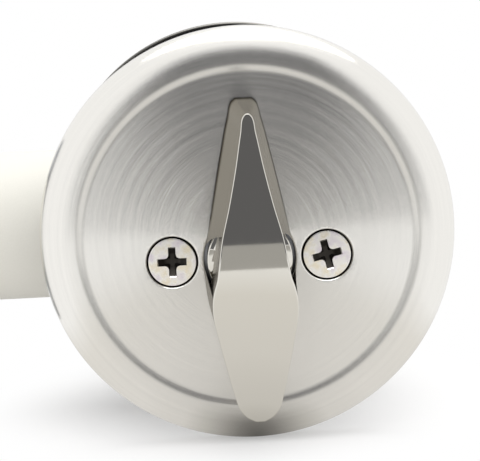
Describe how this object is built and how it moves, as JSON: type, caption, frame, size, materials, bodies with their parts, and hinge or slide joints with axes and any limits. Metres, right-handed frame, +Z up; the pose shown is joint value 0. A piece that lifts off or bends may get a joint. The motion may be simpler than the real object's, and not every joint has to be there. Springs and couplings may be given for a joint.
{
  "type": "deadbolt door lock",
  "caption": "Round single-cylinder deadbolt with a brushed rose, tapered thumbturn, latch tube, bolt and key cylinder, set up as it sits in a door.",
  "frame": {"origin": "where the axis of the door's cross bore meets the latch axis, half way through the door", "axes": "+Y along the cross bore towards the key side, -X along the latch towards the door's edge, +Z up"},
  "size_m": [0.0928, 0.0821, 0.065],
  "materials": {
    "satin_steel": "satin, brushed in circles on the rose",
    "bright_nickel": "bright plated",
    "plain_steel": "zinc plated stamping",
    "spring_steel": "hardened, dark",
    "brass": "machined",
    "cast_zinc": "satin plated zinc casting",
    "paper": "matt white label, bare"
  },
  "bodies": {
    "lock": {"case_rivet_lower": "plain_steel", "case_rivet_upper": "plain_steel", "cylinder_body": "cast_zinc", "driver_pin_1": "spring_steel", "driver_pin_2": "spring_steel", "driver_pin_3": "spring_steel", "driver_pin_4": "spring_steel", "driver_pin_5": "spring_steel", "exterior_collar": "satin_steel", "interior_backing_plate": "plain_steel", "interior_rose": "satin_steel", "latch_backer_plate": "plain_steel", "latch_case_far": "plain_steel", "latch_case_near": "plain_steel", "latch_faceplate": "satin_steel", "latch_label": "paper", "latch_tube": "plain_steel", "mounting_screw_left": "bright_nickel", "mounting_screw_right": "bright_nickel", "pin_chamber_cover": "brass", "pin_spring_1": "spring_steel", "pin_spring_2": "spring_steel", "pin_spring_3": "spring_steel", "pin_spring_4": "spring_steel", "pin_spring_5": "spring_steel", "screw_post_left": "plain_steel", "screw_post_right": "plain_steel", "thumbturn_wave_washer": "spring_steel"},
    "turning_set": {"thumbturn": "satin_steel", "thumbturn_retaining_ring": "spring_steel", "tailpiece": "plain_steel", "latch_cam": "plain_steel"},
    "bolt_set": {"bolt": "brass", "bolt_armour_pin": "spring_steel", "bolt_tail": "plain_steel", "bolt_tail_pin": "spring_steel"},
    "plug_set": {"cylinder_plug": "brass", "plug_cap": "plain_steel", "key_pin_1": "brass", "key_pin_2": "brass", "key_pin_3": "brass", "key_pin_4": "brass", "key_pin_5": "brass"}
  },
  "joints": [
    {"name": "thumbturn_turn", "type": "hinge", "parent": "lock", "child": "turning_set", "pos_m": [0, 0, -0.0033], "axis": [0, -1, 0], "range_deg": [0, 90]},
    {"name": "bolt_throw", "type": "slide", "parent": "lock", "child": "bolt_set", "axis": [-1, 0, 0], "range_m": [0, 0.0254]},
    {"name": "plug_turn", "type": "hinge", "parent": "lock", "child": "plug_set", "pos_m": [0, 0, -0.0033], "axis": [0, -1, 0], "range_deg": [-90, 0]}
  ],
  "couplings": [
    {"joint": "thumbturn_turn", "follows": "bolt_throw", "rad_per_m": 61.842}
  ]
}
